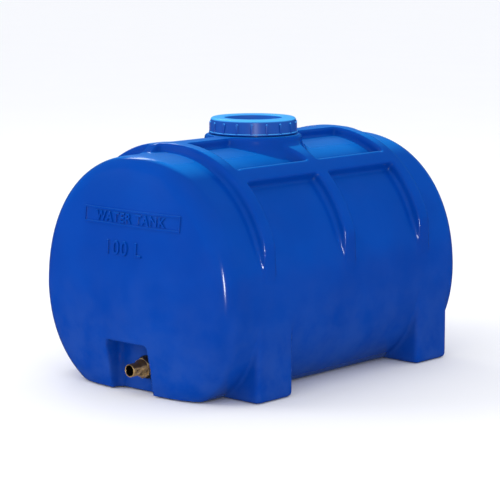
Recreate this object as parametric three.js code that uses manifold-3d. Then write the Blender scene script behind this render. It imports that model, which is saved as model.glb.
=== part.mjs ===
// Horizontal water tank for livestock: a rotational-moulded polyethylene drum of about 100 litres with
// a screw lid on top and a brass outlet in a pocket at the front.
// Millimetres. +Z is up, the long axis is Y, the outlet end faces -Y and the origin is under the middle.
import * as THREE from 'three';
import { mergeVertices } from 'three/addons/utils/BufferGeometryUtils.js';
import Module from 'manifold-3d';

// ---- Driving dimensions --------------------------------------------------------------------------
const WALL = 4; // moulded wall, the same all over

// Drum cross-section: a squarish ellipse, taller above its widest line than below, cut flat underneath
const HALF_WIDTH = 227;
const WIDEST_Z = 165.5;
const HEIGHT_ABOVE = 248.5;
const DEPTH_BELOW = 199;
const SQUARENESS_ABOVE = 2.17; // 2 would be a true ellipse
const SQUARENESS_BELOW = 2.28;
const BELLY_Z = 2; // the flat underside, just clear of the ground

// Drum length: slightly domed ends with a generous shoulder
const HALF_LENGTH = 346;
const DOME_RADIUS = 1050;
const SHOULDER = 35;
const SHOULDER_BELOW = 76; // how far up the end the shoulder starts underneath

// Hoops over the top and ribs along it
const HOOP_STATIONS = [-215, 0, 215];
const HOOP_WIDTH = 34;
const HOOP_HEIGHT = 17;
const HOOP_FADE_START = 70; // degrees from the top
const HOOP_FADE_END = 84;
const HOOP_SUNK = 1; // how far a faded hoop lies under the drum's surface
const WEB_REACH = 140; // the middle hoop widens towards the neck from this far out
const WEB_HALF_WIDTH = 66; // and is this wide where it meets the neck's ring
const CREST_RIB_HALF_WIDTH = 21;
const SIDE_RIB_FROM = 30.5; // degrees from the top
const SIDE_RIB_TO = 37.5;
const RAMP_WIDTH = 24;
const RAMP_RUN = 24;
const RAMP_X = -47;
const RAMP_RISE = 8; // above the drum at the hoop, and as far under it at the foot of the ramp
const RAMP_DEPTH = 30;

// Moulded feet under the four corners
const FOOT_OUTER_X = 226;
const FOOT_INNER_X = 112;
const FRONT_FOOT_Y = -199.5;
const REAR_FOOT_Y = 243.5;
const FOOT_LENGTH = 92;
const FOOT_TOP_Z = 150;
const FOOT_CORNER = 10;

// Filler neck, its raised ring and its screw thread
const NECK_Y = -6.5;
const PLINTH_RADIUS = 89;
const PLINTH_FLARE = 9;
const PLINTH_DEPTH = 40; // how far it reaches under the drum's crest
const PLINTH_Z = 432;
const NECK_RADIUS = 71.4;
const NECK_BORE = 65.4;
const NECK_TOP_Z = 456;
const THREAD_PITCH = 8;
const THREAD_TURNS = 1.25;
const THREAD_DEPTH = 2.6;
const THREAD_ROOT = 2.6; // width of a ridge where it leaves the wall
const THREAD_CREST = 1.6;
const THREAD_PLAY = 0.4;
const THREAD_START_Z = 440;

// Lid
const LID_TOP_Z = 462;
const LID_RADIUS_TOP = 78;
const LID_RADIUS_BOTTOM = 80;
const LID_SKIRT_HEIGHT = 26.5;
const LID_BORE = 74.6;
const LID_PLATE = 3;
const LID_RECESS_RADIUS = 53;
const LID_EDGE = 5; // rounding of the outer edge
const LID_RECESS_DEPTH = 13;
const GRIP_RIBS = 18;
const GRIP_RIB_WIDTH = 4.6;
const GRIP_RIB_PROUD = 1.6;
const GRIP_RIB_DROP = 7; // the ribs stop this far under the lid's top

// Air valve in the lid's recess
const VENT_RING = 6.5;
const VENT_HOLES = 6;
const VENT_HOLE_RADIUS = 1.6;
const VALVE_STEM_RADIUS = 2.4;
const VALVE_DISC_RADIUS = 10.5;

// Outlet pocket and fitting
const POCKET_HALF_WIDTH = 51;
const POCKET_TOP_Z = 92;
const POCKET_DEPTH = 45;
const POCKET_CORNER = 12;
const OUTLET_X = 16;
const OUTLET_Z = 46;
const OUTLET_BORE = 9;
const SPIGOT_RADIUS = 11.5;
const SPIGOT_LENGTH = 40;
const SPIGOT_CONE = 13; // the stretch that widens towards the hexagon
const TAIL_RADIUS = 13;
const TAIL_LENGTH = 24;
const HEX_CORNER_RADIUS = 19;
const HEX_THICKNESS = 10;
const NUT_CORNER_RADIUS = 21;
const NUT_THICKNESS = 8;
const WASHER_RADIUS = 20.5;
const WASHER_THICKNESS = 3;
const GAP = 0.3; // between pieces that touch

// Steps round a circle, and along the shoulder's quarter circle
const OUTER_STEPS = { round: 60, shoulder: 5 };
const INNER_STEPS = { round: 36, shoulder: 3 };
const ROUND_SEGMENTS = 48;
const THREAD_STEPS = 28;

// ---- Solids --------------------------------------------------------------------------------------
const wasm = await Module();
wasm.setup();

// Closed geometry to a solid that can be joined and cut.
function solid(geometry) {
  geometry.deleteAttribute('normal');
  geometry.deleteAttribute('uv');
  const merged = mergeVertices(geometry, 1e-4);
  const index = Array.from(merged.index.array);
  const triangles = [];
  for (let i = 0; i < index.length; i += 3) {
    const [a, b, c] = index.slice(i, i + 3);
    if (a !== b && b !== c && c !== a) triangles.push(a, b, c);
  }
  return new wasm.Manifold(new wasm.Mesh({
    numProp: 3,
    vertProperties: new Float32Array(merged.attributes.position.array),
    triVerts: new Uint32Array(triangles),
  }));
}

function meshOf(name, shape, material) {
  const { vertProperties, triVerts } = shape.getMesh();
  const geometry = new THREE.BufferGeometry();
  geometry.setAttribute('position', new THREE.BufferAttribute(vertProperties, 3));
  geometry.setIndex(new THREE.BufferAttribute(triVerts, 1));
  geometry.computeVertexNormals();
  const mesh = new THREE.Mesh(geometry, material);
  mesh.name = name;
  return mesh;
}

function block(x0, x1, y0, y1, z0, z1) {
  const geometry = new THREE.BoxGeometry(x1 - x0, y1 - y0, z1 - z0);
  geometry.translate((x0 + x1) / 2, (y0 + y1) / 2, (z0 + z1) / 2);
  return solid(geometry);
}

// Turned solid about a vertical axis. The profile lists [radius, z] upwards; a ring closes on itself.
function turned(profile, segments = ROUND_SEGMENTS) {
  const points = profile.map(([radius, z]) => new THREE.Vector2(radius, z));
  const geometry = new THREE.LatheGeometry(points, segments);
  geometry.rotateX(Math.PI / 2);
  return solid(geometry);
}

function ring(inner, outer, z0, z1, segments = ROUND_SEGMENTS) {
  return turned([[inner, z0], [outer, z0], [outer, z1], [inner, z1], [inner, z0]], segments);
}

// Vertical prism over an outline in X and Y.
function prism(outline, z0, z1) {
  const depth = z1 - z0;
  const geometry = new THREE.ExtrudeGeometry(outline, { depth, bevelEnabled: false, curveSegments: 5 });
  geometry.translate(0, 0, z0);
  return solid(geometry);
}

// Prism along Y over an outline in X and Z.
function prismAlongY(outline, y0, y1) {
  const depth = y1 - y0;
  const geometry = new THREE.ExtrudeGeometry(outline, { depth, bevelEnabled: false, curveSegments: 5 });
  geometry.rotateX(Math.PI / 2);
  geometry.translate(0, y1, 0);
  return solid(geometry);
}

function roundedRectangle(x0, x1, y0, y1, radius) {
  const shape = new THREE.Shape();
  shape.moveTo(x0 + radius, y0);
  shape.lineTo(x1 - radius, y0);
  shape.absarc(x1 - radius, y0 + radius, radius, -Math.PI / 2, 0);
  shape.lineTo(x1, y1 - radius);
  shape.absarc(x1 - radius, y1 - radius, radius, 0, Math.PI / 2);
  shape.lineTo(x0 + radius, y1);
  shape.absarc(x0 + radius, y1 - radius, radius, Math.PI / 2, Math.PI);
  shape.lineTo(x0, y0 + radius);
  shape.absarc(x0 + radius, y0 + radius, radius, Math.PI, Math.PI * 1.5);
  return shape;
}

function polygon(points) {
  return new THREE.Shape(points.map(([x, y]) => new THREE.Vector2(x, y)));
}

// Hexagonal bar along Z, flats towards X.
function hexagon(cornerRadius, z0, z1) {
  const geometry = new THREE.CylinderGeometry(cornerRadius, cornerRadius, z1 - z0, 6);
  geometry.rotateX(Math.PI / 2);
  geometry.translate(0, 0, (z0 + z1) / 2);
  return solid(geometry);
}

// ---- Drum ----------------------------------------------------------------------------------------
// The shoulder takes up more of the drum's end underneath than it does at the top and the sides.
function shareAt(share, downwards, inset) {
  const start = (HALF_WIDTH - SHOULDER) / (HALF_WIDTH - inset);
  const startBelow = (DEPTH_BELOW - SHOULDER_BELOW) / (DEPTH_BELOW - inset);
  const below = share < start
    ? share * startBelow / start
    : 1 - (1 - share) * (1 - startBelow) / (1 - start);
  return THREE.MathUtils.lerp(share, below, downwards);
}

// Wraps a solid turned about Y with the drum's half width onto the drum's cross-section. What stands
// outside the half width stays that far outside the section, times proudness at that angle from the top.
function wrapToSection(geometry, inset, proudness) {
  const position = geometry.attributes.position;
  const halfWidth = HALF_WIDTH - inset;
  const bend = (value, above) => {
    const power = 2 / (above ? SQUARENESS_ABOVE : SQUARENESS_BELOW);
    return Math.sign(value) * Math.abs(value) ** power;
  };
  for (let i = 0; i < position.count; i++) {
    const x = position.getX(i);
    const z = position.getZ(i);
    const radius = Math.hypot(x, z);
    const sine = radius > 0 ? bend(x / radius, z > 0) : 0;
    const cosine = radius > 0 ? bend(z / radius, z > 0) : 0;
    const downwards = radius > 0 ? Math.max(-z / radius, 0) : 0;
    const share = shareAt(Math.min(radius / halfWidth, 1), downwards, inset);
    const fromTop = THREE.MathUtils.radToDeg(Math.atan2(Math.abs(x), z));
    const outside = Math.max(radius - halfWidth, 0);
    const proud = outside > 0 ? outside * proudness(fromTop) - HOOP_SUNK * (1 - proudness(fromTop)) : 0;
    const height = (cosine > 0 ? HEIGHT_ABOVE : DEPTH_BELOW) - inset;
    position.setX(i, sine * (halfWidth * share + proud));
    position.setZ(i, WIDEST_Z + cosine * (height * share + proud));
  }
  return solid(geometry);
}

function stepsFor(inset) {
  return inset > 0 ? INNER_STEPS : OUTER_STEPS;
}

// Half of the drum's turned profile, from the pole of one end to the start of the straight barrel.
function endProfile(inset) {
  const centre = HALF_WIDTH - SHOULDER;
  const fillet = SHOULDER - inset;
  const dome = DOME_RADIUS - inset;
  const tilt = Math.asin(centre / (DOME_RADIUS - SHOULDER));
  const domeCentre = HALF_LENGTH - DOME_RADIUS;
  const filletCentre = domeCentre + Math.cos(tilt) * (DOME_RADIUS - SHOULDER);
  const points = [];
  for (const step of [0, 0.6]) {
    points.push([dome * Math.sin(tilt * step), domeCentre + dome * Math.cos(tilt * step)]);
  }
  const { shoulder } = stepsFor(inset);
  for (let i = 0; i <= shoulder; i++) {
    const angle = tilt + (Math.PI / 2 - tilt) * i / shoulder;
    points.push([centre + fillet * Math.sin(angle), filletCentre + fillet * Math.cos(angle)]);
  }
  return points;
}

function drumBody(inset) {
  const half = endProfile(inset);
  const front = half.map(([radius, y]) => new THREE.Vector2(radius, -y));
  const rear = half.map(([radius, y]) => new THREE.Vector2(radius, y)).reverse();
  const geometry = new THREE.LatheGeometry([...front, ...rear], stepsFor(inset).round);
  return wrapToSection(geometry, inset, () => 1);
}

// One band across the drum, as proud as a hoop, between two stations.
function band(y0, y1, inset, proudness, edge) {
  const inside = HALF_WIDTH - inset;
  const profile = [
    [0, y0 - 2], [inside - 8, y0 - 2], [inside + 0.01, y0], [inside + HOOP_HEIGHT - edge, y0 + 1],
    [inside + HOOP_HEIGHT, y0 + 1 + edge], [inside + HOOP_HEIGHT, y1 - 1 - edge],
    [inside + HOOP_HEIGHT - edge, y1 - 1], [inside + 0.01, y1], [inside - 8, y1 + 2], [0, y1 + 2],
  ];
  const points = profile.map(([radius, y]) => new THREE.Vector2(radius, y));
  return wrapToSection(new THREE.LatheGeometry(points, stepsFor(inset).round), inset, proudness);
}

function hoopProudness(fromTop) {
  return 1 - THREE.MathUtils.smoothstep(fromTop, HOOP_FADE_START, HOOP_FADE_END);
}

function hoop(y, inset) {
  const half = HOOP_WIDTH / 2 - inset;
  return band(y - half, y + half, inset, hoopProudness, 4);
}

// Wedge along the drum between two angles from the top, towards +X or -X.
function ribWedge(side, inset) {
  const reach = 420;
  const spread = THREE.MathUtils.radToDeg(inset / HALF_WIDTH);
  const corner = (degrees) => {
    const angle = THREE.MathUtils.degToRad(degrees);
    return [side * Math.sin(angle) * reach, WIDEST_Z + Math.cos(angle) * reach];
  };
  const points = [[0, WIDEST_Z], corner(SIDE_RIB_FROM + spread), corner(SIDE_RIB_TO - spread)];
  return prismAlongY(polygon(side > 0 ? points.reverse() : points), HOOP_STATIONS[0], HOOP_STATIONS[2]);
}

// The middle hoop's outline from above, widening on both sides towards the neck's ring.
function webOutline(inset) {
  const shape = new THREE.Shape();
  const narrow = HOOP_WIDTH / 2 - inset;
  const wide = WEB_HALF_WIDTH - inset;
  const near = PLINTH_RADIUS / 2;
  shape.moveTo(-WEB_REACH, -narrow);
  shape.quadraticCurveTo(-PLINTH_RADIUS, -narrow, -near, -wide);
  shape.lineTo(near, -wide);
  shape.quadraticCurveTo(PLINTH_RADIUS, -narrow, WEB_REACH, -narrow);
  shape.lineTo(WEB_REACH, narrow);
  shape.quadraticCurveTo(PLINTH_RADIUS, narrow, near, wide);
  shape.lineTo(-near, wide);
  shape.quadraticCurveTo(-PLINTH_RADIUS, narrow, -WEB_REACH, narrow);
  return shape;
}

// Crest rib, the two side ribs and the middle hoop's webs, as high as the hoops that they join.
function lengthwiseRibs(inset) {
  const raised = band(HOOP_STATIONS[0], HOOP_STATIONS[2], inset, () => 1, 0.5);
  const half = CREST_RIB_HALF_WIDTH - inset;
  const crest = block(-half, half, HOOP_STATIONS[0], HOOP_STATIONS[2], WIDEST_Z, NECK_TOP_Z);
  const webs = prism(webOutline(inset), WIDEST_Z, NECK_TOP_Z);
  return raised.intersect(crest.add(webs).add(ribWedge(1, inset)).add(ribWedge(-1, inset)));
}

// Small ramps from the end hoops down to the drum, one at each end.
function ramp(end, inset) {
  const crestZ = WIDEST_Z + HEIGHT_ABOVE - inset;
  const start = HOOP_STATIONS[2];
  const top = HOOP_WIDTH / 2 - inset;
  const outline = polygon([
    [0, crestZ - RAMP_DEPTH], [top + RAMP_RUN, crestZ - RAMP_DEPTH], [top + RAMP_RUN, crestZ - RAMP_RISE],
    [top, crestZ + RAMP_RISE], [0, crestZ + RAMP_RISE],
  ]);
  const half = RAMP_WIDTH / 2 - inset;
  const geometry = new THREE.ExtrudeGeometry(outline, { depth: 2 * half, bevelEnabled: false });
  geometry.rotateX(Math.PI / 2);
  geometry.rotateZ(Math.PI / 2);
  geometry.translate(-half, start, 0);
  if (end < 0) geometry.rotateZ(Math.PI);
  geometry.translate(end < 0 ? RAMP_X : -RAMP_X, 0, 0);
  return solid(geometry);
}

// A foot fills the corner between the drum's underside and the ground.
function foot(side, y, inset) {
  const half = FOOT_LENGTH / 2 - inset;
  const inner = side * (FOOT_INNER_X + inset);
  const outer = side * (FOOT_OUTER_X - inset);
  const outline = roundedRectangle(
    Math.min(inner, outer), Math.max(inner, outer), y - half, y + half, FOOT_CORNER - inset,
  );
  return prism(outline, inset, FOOT_TOP_Z);
}

function pocket(inset) {
  const half = POCKET_HALF_WIDTH + inset;
  const top = POCKET_TOP_Z + inset;
  const outline = roundedRectangle(-half, half, -60, top, POCKET_CORNER + inset);
  return prismAlongY(outline, -HALF_LENGTH - 30, -HALF_LENGTH + POCKET_DEPTH + inset);
}

// Raised ring round the neck. It flares where it runs into the drum and has a rounded upper edge.
function plinth(inset) {
  const radius = PLINTH_RADIUS - inset;
  const top = PLINTH_Z - inset;
  const bottom = WIDEST_Z + HEIGHT_ABOVE - PLINTH_DEPTH;
  return onNeckAxis(turned([
    [0, bottom], [radius + PLINTH_FLARE, bottom], [radius + PLINTH_FLARE, top - 33], [radius + 2, top - 18],
    [radius, top - 5], [radius - 2, top - 1.5], [radius - 5, top], [0, top],
  ]));
}

// Moves a solid made about the origin onto the neck's axis.
function onNeckAxis(shape) {
  return shape.translate([0, NECK_Y, 0]);
}

function roundHole(radius, z0, z1, segments) {
  return turned([[0, z0], [radius, z0], [radius, z1], [0, z1]], segments);
}

// The whole outside of the moulding, or the same form set in by a wall thickness.
function tankForm(inset) {
  let form = drumBody(inset);
  for (const y of HOOP_STATIONS) form = form.add(hoop(y, inset));
  form = form.add(lengthwiseRibs(inset)).add(plinth(inset));
  for (const end of [-1, 1]) form = form.add(ramp(end, inset));
  form = form.subtract(block(-300, 300, -400, 400, -200, BELLY_Z + inset));
  for (const side of [-1, 1]) {
    for (const y of [FRONT_FOOT_Y, REAR_FOOT_Y]) form = form.add(foot(side, y, inset));
  }
  return form.subtract(pocket(inset));
}

// Helical ridge: a straight bar of the ridge's section, bent round the neck and lifted by the pitch.
function threadRidge(wallRadius, outward, startZ) {
  const steps = THREAD_TURNS * THREAD_STEPS;
  const root = THREAD_ROOT / 2;
  const crest = THREAD_CREST / 2;
  const outline = polygon([[-0.5, -root], [THREAD_DEPTH, -crest], [THREAD_DEPTH, crest], [-0.5, root]]);
  const geometry = new THREE.ExtrudeGeometry(outline, { depth: 1, steps, bevelEnabled: false });
  const position = geometry.attributes.position;
  for (let i = 0; i < position.count; i++) {
    const angle = position.getZ(i) * THREAD_TURNS * 2 * Math.PI;
    const radius = wallRadius + outward * position.getX(i);
    const z = startZ + position.getY(i) + THREAD_PITCH * angle / (2 * Math.PI);
    position.setXYZ(i, radius * Math.cos(angle), radius * Math.sin(angle), z);
  }
  if (outward > 0) flip(geometry);
  return solid(geometry);
}

// Turns a geometry's faces the other way.
function flip(geometry) {
  const position = geometry.attributes.position;
  for (let i = 0; i < position.count; i += 3) {
    const kept = new THREE.Vector3().fromBufferAttribute(position, i);
    position.copyAt(i, position, i + 1);
    position.setXYZ(i + 1, kept.x, kept.y, kept.z);
  }
}

// ---- Pieces --------------------------------------------------------------------------------------
function tankShell() {
  const neck = ring(NECK_BORE, NECK_RADIUS, PLINTH_Z - WALL - 1, NECK_TOP_Z)
    .add(threadRidge(NECK_RADIUS, 1, THREAD_START_Z));
  const mouth = roundHole(NECK_BORE, PLINTH_Z - 60, NECK_TOP_Z + 5);
  return tankForm(0)
    .subtract(tankForm(WALL))
    .add(onNeckAxis(neck))
    .subtract(onNeckAxis(mouth))
    .subtract(alongOutlet(roundHole(TAIL_RADIUS + GAP, -20, 20, 32)));
}

// Lays a solid made about Z along the outlet, z = 0 on the pocket's back wall and +z into the tank.
function alongOutlet(shape) {
  return shape.rotate([-90, 0, 0]).translate([OUTLET_X, -HALF_LENGTH + POCKET_DEPTH, OUTLET_Z]);
}

function lid() {
  const bottom = LID_TOP_Z - LID_SKIRT_HEIGHT;
  const under = LID_TOP_Z - LID_PLATE;
  const floor = LID_TOP_Z - LID_RECESS_DEPTH;
  const wellRadius = LID_RECESS_RADIUS + LID_PLATE;
  const bend = LID_EDGE * 0.3;
  const body = turned([
    [0, floor - LID_PLATE], [wellRadius, floor - LID_PLATE], [wellRadius, under], [LID_BORE, under],
    [LID_BORE, bottom], [LID_RADIUS_BOTTOM, bottom], [LID_RADIUS_TOP, LID_TOP_Z - LID_EDGE],
    [LID_RADIUS_TOP - bend, LID_TOP_Z - bend], [LID_RADIUS_TOP - LID_EDGE, LID_TOP_Z],
    [LID_RECESS_RADIUS + 2, LID_TOP_Z], [LID_RECESS_RADIUS, LID_TOP_Z - 2], [LID_RECESS_RADIUS - 1, floor],
    [0, floor],
  ]);
  let shape = body.add(threadRidge(LID_BORE, -1, THREAD_START_Z - THREAD_ROOT - THREAD_PLAY));
  const half = GRIP_RIB_WIDTH / 2;
  const reach = LID_RADIUS_BOTTOM + GRIP_RIB_PROUD;
  const rib = block(LID_BORE + 1, reach, -half, half, bottom, LID_TOP_Z - GRIP_RIB_DROP);
  for (let i = 0; i < GRIP_RIBS; i++) {
    shape = shape.add(rib.rotate([0, 0, (i + 0.5) * 360 / GRIP_RIBS]));
  }
  for (let i = 0; i <= VENT_HOLES; i++) {
    const centred = i === VENT_HOLES;
    const radius = centred ? VALVE_STEM_RADIUS + GAP : VENT_HOLE_RADIUS;
    const hole = roundHole(radius, floor - 10, floor + 5, 16);
    const angle = i * 2 * Math.PI / VENT_HOLES;
    const out = centred ? 0 : VENT_RING;
    shape = shape.subtract(hole.translate([out * Math.cos(angle), out * Math.sin(angle), 0]));
  }
  return onNeckAxis(shape);
}

// Rubber one-way valve: a thin disc under the lid's floor, held by a stem with a bulb above the floor.
function airValve() {
  const floor = LID_TOP_Z - LID_RECESS_DEPTH;
  const under = floor - LID_PLATE - GAP;
  return onNeckAxis(turned([
    [0, under - 2.2], [3.5, under - 2.2], [VALVE_DISC_RADIUS, under - 1.2], [VALVE_DISC_RADIUS, under],
    [VALVE_STEM_RADIUS, under], [VALVE_STEM_RADIUS, floor + GAP], [VALVE_STEM_RADIUS + 1.4, floor + GAP],
    [VALVE_STEM_RADIUS + 0.6, floor + 4], [0, floor + 5],
  ], 24));
}

function lidGasket() {
  const under = LID_TOP_Z - LID_PLATE - GAP;
  return onNeckAxis(ring(NECK_BORE + 0.8, NECK_RADIUS - 0.4, NECK_TOP_Z + GAP, under));
}

function outletFitting() {
  const hexBack = -WASHER_THICKNESS - 2 * GAP;
  const hexFront = hexBack - HEX_THICKNESS;
  const end = hexBack - SPIGOT_LENGTH;
  const core = turned([
    [0, end], [SPIGOT_RADIUS - 1, end], [SPIGOT_RADIUS, end + 1], [SPIGOT_RADIUS, hexFront - SPIGOT_CONE],
    [SPIGOT_RADIUS + 4.5, hexFront], [TAIL_RADIUS, hexFront + 1], [TAIL_RADIUS, TAIL_LENGTH],
    [0, TAIL_LENGTH],
  ], 36);
  const bore = roundHole(OUTLET_BORE, end - 5, TAIL_LENGTH + 5, 36);
  const faceting = turned([
    [0, hexFront - 1], [HEX_CORNER_RADIUS - 3, hexFront - 1], [HEX_CORNER_RADIUS + 1, hexFront + 3],
    [HEX_CORNER_RADIUS + 1, hexBack + 1], [0, hexBack + 1],
  ], 36);
  const hex = hexagon(HEX_CORNER_RADIUS, hexFront, hexBack).intersect(faceting);
  return alongOutlet(core.add(hex).subtract(bore));
}

function washer(z0) {
  return alongOutlet(ring(TAIL_RADIUS + GAP, WASHER_RADIUS, z0, z0 + WASHER_THICKNESS, 36));
}

function backNut() {
  const start = WALL + 2 * GAP + WASHER_THICKNESS + GAP;
  const hole = roundHole(TAIL_RADIUS + GAP, start - 5, start + NUT_THICKNESS + 5, 36);
  return alongOutlet(hexagon(NUT_CORNER_RADIUS, start, start + NUT_THICKNESS).subtract(hole));
}

// ---- Assembly ------------------------------------------------------------------------------------
const polyethylene = new THREE.MeshStandardMaterial({ color: 0x0a55c4, roughness: 0.28, metalness: 0 });
const lidPlastic = new THREE.MeshStandardMaterial({ color: 0x0f5fce, roughness: 0.32, metalness: 0 });
const brass = new THREE.MeshStandardMaterial({ color: 0xb08a3c, roughness: 0.3, metalness: 1 });
const rubber = new THREE.MeshStandardMaterial({ color: 0x1a1a1c, roughness: 0.75, metalness: 0 });

const tank = new THREE.Group();
tank.add(
  meshOf('tank_shell', tankShell(), polyethylene),
  meshOf('screw_lid', lid(), lidPlastic),
  meshOf('lid_gasket', lidGasket(), rubber),
  meshOf('air_valve', airValve(), rubber),
  meshOf('outlet_fitting', outletFitting(), brass),
  meshOf('outlet_washer_outer', washer(-WASHER_THICKNESS - GAP), rubber),
  meshOf('outlet_washer_inner', washer(WALL + GAP), rubber),
  meshOf('outlet_backnut', backNut(), brass),
);

export default tank;
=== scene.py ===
"""Looks of a horizontal livestock water tank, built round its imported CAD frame.

A rotomoulded polyethylene drum stands on four moulded feet, with hoops and ribs over the top, a screw lid
on its neck and a brass outlet in a pocket of the front end. Lengths are metres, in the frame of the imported
model: +Z is up, the drum lies along Y and its outlet end faces -Y.
"""

import logging
import math
from collections.abc import Callable, Iterator, Sequence
from contextlib import contextmanager
from dataclasses import dataclass, field
from enum import Enum

import bpy
import numpy as np
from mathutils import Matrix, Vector


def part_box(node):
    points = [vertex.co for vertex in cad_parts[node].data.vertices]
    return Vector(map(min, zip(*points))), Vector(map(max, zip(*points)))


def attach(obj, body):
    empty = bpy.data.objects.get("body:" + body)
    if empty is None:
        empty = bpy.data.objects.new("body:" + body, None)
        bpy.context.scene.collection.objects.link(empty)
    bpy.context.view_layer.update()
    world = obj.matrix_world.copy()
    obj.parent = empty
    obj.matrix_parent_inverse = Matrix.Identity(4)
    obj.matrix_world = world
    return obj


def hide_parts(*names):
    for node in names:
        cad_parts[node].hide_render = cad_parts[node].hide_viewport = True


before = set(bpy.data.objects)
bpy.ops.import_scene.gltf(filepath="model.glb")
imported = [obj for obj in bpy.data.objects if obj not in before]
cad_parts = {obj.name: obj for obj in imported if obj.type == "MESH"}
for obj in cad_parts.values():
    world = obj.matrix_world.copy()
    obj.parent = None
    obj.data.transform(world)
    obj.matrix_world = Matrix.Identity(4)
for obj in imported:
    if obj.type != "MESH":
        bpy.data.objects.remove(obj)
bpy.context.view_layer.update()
LOG = logging.getLogger("livestock_tank")

MM = 0.001
MERGE = 0.005 * MM

Piece = bpy.types.Object
Material = bpy.types.Material
Tree = bpy.types.NodeTree
Socket = bpy.types.NodeSocket
Pair = tuple[float, float]
Place = tuple[float, float, float]


class Cut(Enum):
    """How one solid acts on another."""

    JOIN = "UNION"
    AWAY = "DIFFERENCE"
    COMMON = "INTERSECT"


class Axis(Enum):
    """Axis that a turned piece is spun about."""

    UPRIGHT = (0.0, 0.0, 1.0)
    LENGTHWISE = (0.0, -1.0, 0.0)


# ---- Modelling by hand ----


def activate(piece: Piece) -> None:
    """Selects one piece alone and makes it the active one.

    Args:
        piece: The piece to work on.
    """
    if bpy.context.mode != "OBJECT":
        bpy.ops.object.mode_set(mode="OBJECT")
    bpy.ops.object.select_all(action="DESELECT")
    piece.select_set(True)
    bpy.context.view_layer.objects.active = piece


@contextmanager
def editing(piece: Piece) -> Iterator[None]:
    """Opens a piece in edit mode with all of it selected, and closes it again.

    Args:
        piece: The piece to edit.
    """
    activate(piece)
    bpy.ops.object.mode_set(mode="EDIT")
    bpy.ops.mesh.select_mode(type="VERT")
    bpy.ops.mesh.select_all(action="SELECT")
    yield
    bpy.ops.object.mode_set(mode="OBJECT")


@contextmanager
def drawing(outline: Sequence[Vector]) -> Iterator[Piece]:
    """Draws an outline point by point and holds it open in edit mode, all of it selected.

    Args:
        outline: The points.

    Yields:
        The new piece, a chain of edges.
    """
    bpy.ops.mesh.primitive_plane_add(size=MM, location=outline[0])
    piece = bpy.context.object
    with editing(piece):
        bpy.ops.mesh.merge(type="CENTER")
        for before, after in zip(outline, outline[1:]):
            bpy.ops.mesh.extrude_vertices_move(TRANSFORM_OT_translate={"value": after - before})
        bpy.ops.mesh.select_all(action="SELECT")
        yield piece


def settle(piece: Piece, name: str) -> Piece:
    """Names a piece and moves its place, turn and scale into its mesh.

    Args:
        piece: The piece as it was added.
        name: The name it keeps.

    Returns:
        The same piece, with its object at the origin.
    """
    activate(piece)
    bpy.ops.object.transform_apply(location=True, rotation=True, scale=True)
    piece.name = piece.data.name = name
    return piece


def arc(centre: Pair, radius: float, start: float, end: float, steps: int) -> list[Pair]:
    """Gives the points of an arc in an outline, from one angle in degrees to another, both included."""
    angles = [math.radians(start + (end - start) * i / steps) for i in range(steps + 1)]
    return [(centre[0] + radius * math.cos(a), centre[1] + radius * math.sin(a)) for a in angles]


def plug(radius: float, low: float, high: float) -> list[Pair]:
    """Gives the outline of a plain round cutter between two heights."""
    return [(0.0, low), (radius, low), (radius, high), (0.0, high)]


def turned(
    name: str,
    profile: Sequence[Pair],
    axis: Axis = Axis.UPRIGHT,
    centre: Place = (0.0, 0.0, 0.0),
    steps: int = 96,
    start: float = 0.0,
    sweep: float = math.tau,
) -> Piece:
    """Draws an outline and spins it about an axis.

    Args:
        name: Name of the piece.
        profile: Radius and height of each point. It starts and ends on the axis, or closes on itself.
        axis: Axis to spin about.
        centre: A point on that axis.
        steps: Steps of the spin.
        start: Angle of the outline from the top, for a lengthwise axis.
        sweep: Angle to spin through. Less than a full turn gives a closed sector.

    Returns:
        The turned piece.
    """
    if axis is Axis.LENGTHWISE:
        points = [Vector((r * math.sin(start), h, r * math.cos(start))) + Vector(centre) for r, h in profile]
    else:
        points = [Vector((r, 0.0, h)) + Vector(centre) for r, h in profile]
    with drawing(points) as piece:
        if sweep < math.tau:
            bpy.ops.mesh.edge_face_add()
        bpy.ops.mesh.spin(steps=steps, angle=sweep, center=centre, axis=axis.value)
        bpy.ops.mesh.select_all(action="SELECT")
        bpy.ops.mesh.remove_doubles(threshold=MERGE)
        bpy.ops.mesh.fill_holes(sides=0)
        bpy.ops.mesh.normals_make_consistent(inside=False)
    return settle(piece, name)


def block(name: str, low: Sequence[float], high: Sequence[float], rounding: float = 0.0) -> Piece:
    """Adds a box between two corners, with rounded edges if asked.

    Args:
        name: Name of the piece.
        low: Lowest corner.
        high: Highest corner.
        rounding: Radius of its edges.

    Returns:
        The box.
    """
    centre = [(a + b) / 2 for a, b in zip(low, high)]
    sides = [b - a for a, b in zip(low, high)]
    bpy.ops.mesh.primitive_cube_add(size=1.0, location=centre, scale=sides)
    piece = settle(bpy.context.object, name)
    if rounding > 0:
        with editing(piece):
            bpy.ops.mesh.bevel(offset=rounding, segments=4, affect="EDGES")
    return piece


def vertices_of(piece: Piece) -> np.ndarray:
    """Reads a piece's vertex places.

    Args:
        piece: The piece.

    Returns:
        One row x, y, z for each vertex.
    """
    places = np.empty(3 * len(piece.data.vertices))
    piece.data.vertices.foreach_get("co", places)
    return places.reshape(-1, 3)


def move_vertices(piece: Piece, places: np.ndarray) -> None:
    """Writes vertex places back to a piece, one row x, y, z for each vertex."""
    piece.data.vertices.foreach_set("co", places.ravel())
    piece.data.update()


def cut_flat(piece: Piece, height: float) -> None:
    """Takes away what lies under a height and closes the cut."""
    with editing(piece):
        bpy.ops.mesh.bisect(plane_co=(0, 0, height), plane_no=(0, 0, 1), use_fill=True, clear_inner=True)


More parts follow.
